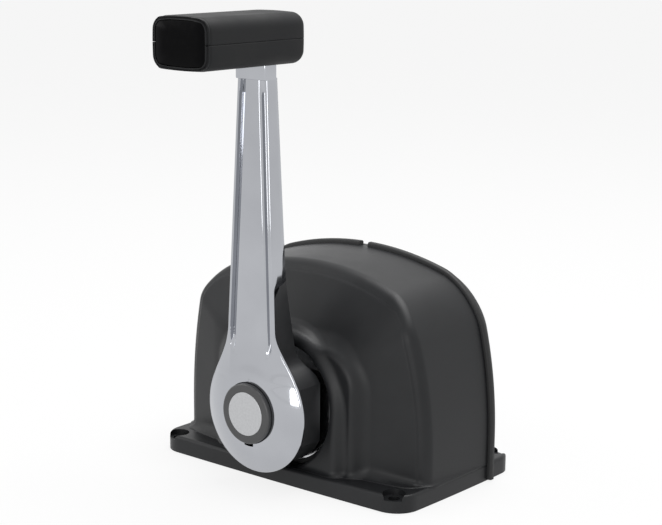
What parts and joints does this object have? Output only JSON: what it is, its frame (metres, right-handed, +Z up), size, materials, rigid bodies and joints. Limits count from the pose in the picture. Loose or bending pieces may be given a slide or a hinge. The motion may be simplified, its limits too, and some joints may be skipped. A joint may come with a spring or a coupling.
{
  "type": "boat throttle control lever",
  "caption": "Top-mount single-lever boat throttle and shift control: chrome lever with hub button and T-grip on an arched black housing with a deck flange.",
  "frame": {"origin": "centre of the deck screw pattern, on the underside of the flange that rests on the deck", "axes": "+X along the base, in the plane in which the lever swings; +Y to the rear, away from the lever; +Z up"},
  "size_m": [0.1846, 0.1758, 0.2556],
  "materials": {
    "black_housing_plastic": "semi-matt moulded",
    "black_rubber": "moulded strip",
    "chrome_plate": "polished plate over casting",
    "black_hub_plastic": "satin moulded",
    "black_grip_plastic": "soft-touch coated",
    "gloss_black_plastic": "gloss",
    "grey_core_plastic": "moulded",
    "satin_silver": "satin disc",
    "bright_washer_steel": "bright",
    "zinc_steel": "zinc plated",
    "machined_steel": "machined",
    "spring_steel": "wire",
    "cast_aluminium": "cast",
    "bronze": "sintered",
    "switch_plastic": "moulded",
    "brass_terminal": "tinned"
  },
  "bodies": {
    "housing": {"front_housing": "black_housing_plastic", "rear_housing": "black_housing_plastic", "edge_seal_right": "black_rubber", "edge_seal_left": "black_rubber", "cover_screws": "zinc_steel", "hub_washer": "bright_washer_steel", "front_bush": "bronze", "mechanism_plate": "cast_aluminium", "plate_screws": "zinc_steel", "plate_bush": "bronze", "rear_plate": "zinc_steel", "rear_bush": "bronze", "pillars": "zinc_steel", "pillar_screws": "zinc_steel", "shift_shaft": "machined_steel", "shift_spacers": "machined_steel", "shift_cable_bracket": "zinc_steel", "throttle_cable_bracket": "zinc_steel", "saddle_caps": "zinc_steel", "saddle_screws": "zinc_steel", "detent_block": "cast_aluminium", "detent_screws": "zinc_steel", "detent_set_screw": "zinc_steel", "detent_spring": "spring_steel", "neutral_switch": "switch_plastic", "switch_screws": "zinc_steel", "switch_terminals": "brass_terminal"},
    "lever": {"lever_arm": "chrome_plate", "lever_hub": "black_hub_plastic", "hub_nut": "zinc_steel", "main_shaft": "machined_steel", "shaft_key": "zinc_steel", "drive_gear": "machined_steel", "detent_disc": "machined_steel", "shaft_spacers": "machined_steel", "shaft_circlip": "zinc_steel", "throttle_arm": "machined_steel", "throttle_stud": "machined_steel", "throttle_nut": "zinc_steel", "grip_upper": "black_grip_plastic", "grip_lower": "black_grip_plastic", "grip_core": "grey_core_plastic", "grip_pin": "zinc_steel", "grip_end_cap": "gloss_black_plastic", "grip_screws": "zinc_steel", "button_spring": "spring_steel"},
    "button": {"button_ring": "black_hub_plastic", "button_badge": "satin_silver", "button_stem": "machined_steel"},
    "shift": {"shift_gear": "machined_steel", "shift_stud": "machined_steel"},
    "detent": {"detent_plunger": "machined_steel"},
    "switch_button": {"switch_plunger": "switch_plastic"}
  },
  "joints": [
    {"name": "lever_swing", "type": "hinge", "parent": "housing", "child": "lever", "pos_m": [0, 0, 0.0431], "axis": [0, 1, 0], "range_deg": [-80, 80]},
    {"name": "button_press", "type": "slide", "parent": "lever", "child": "button", "axis": [0, 1, 0], "range_m": [0, 0.004], "stiffness_N_per_m": 700, "springref_m": -0.002, "deforming": ["button_spring"]},
    {"name": "shift_swing", "type": "hinge", "parent": "housing", "child": "shift", "pos_m": [-0.03053, 0, 0.06072], "axis": [0, 1, 0], "range_deg": [-35, 35]},
    {"name": "detent_press", "type": "slide", "parent": "housing", "child": "detent", "axis": [1, 0, 0], "range_m": [0, 0.0015], "stiffness_N_per_m": 2000, "springref_m": -0.001, "deforming": ["detent_spring"]},
    {"name": "switch_press", "type": "slide", "parent": "housing", "child": "switch_button", "axis": [0, 0, -1], "range_m": [0, 0.001], "stiffness_N_per_m": 400, "springref_m": -0.001}
  ],
  "couplings": [
    {"joint": "shift_swing", "follows": "lever_swing", "ratio": -0.42424}
  ]
}
